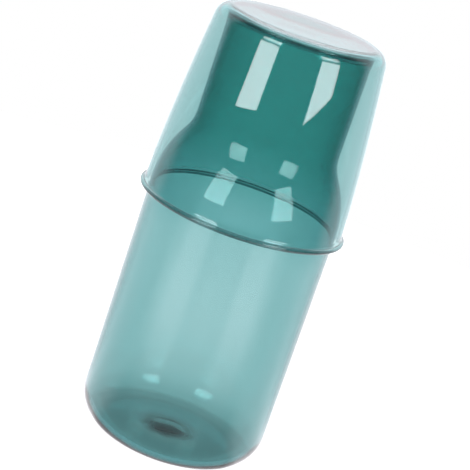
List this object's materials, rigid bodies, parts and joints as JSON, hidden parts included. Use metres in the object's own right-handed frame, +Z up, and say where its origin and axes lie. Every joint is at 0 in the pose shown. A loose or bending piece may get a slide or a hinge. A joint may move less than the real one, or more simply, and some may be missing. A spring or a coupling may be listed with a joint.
{
  "type": "bedside carafe with tumbler",
  "caption": "Straight-sided glass carafe with a rounded shoulder and wide neck, closed by an upside-down flared tumbler that rests on its lip and lifts off for drinking.",
  "frame": {"origin": "middle of the flat ring that the carafe stands on, on the table surface", "axes": "+Z up along the axis that both glasses are turned about; X and Y are alike"},
  "size_m": [0.0942, 0.0942, 0.1984],
  "materials": {
    "carafe_glass": "clear teal blown glass, fire polished",
    "tumbler_glass": "clear teal blown glass, fire polished"
  },
  "bodies": {
    "carafe": {"carafe": "carafe_glass"},
    "tumbler": {"tumbler": "tumbler_glass"}
  },
  "joints": [
    {"name": "tumbler_lift", "type": "slide", "parent": "carafe", "child": "tumbler", "axis": [0, 0, 1], "range_m": [0, 0.12]}
  ]
}
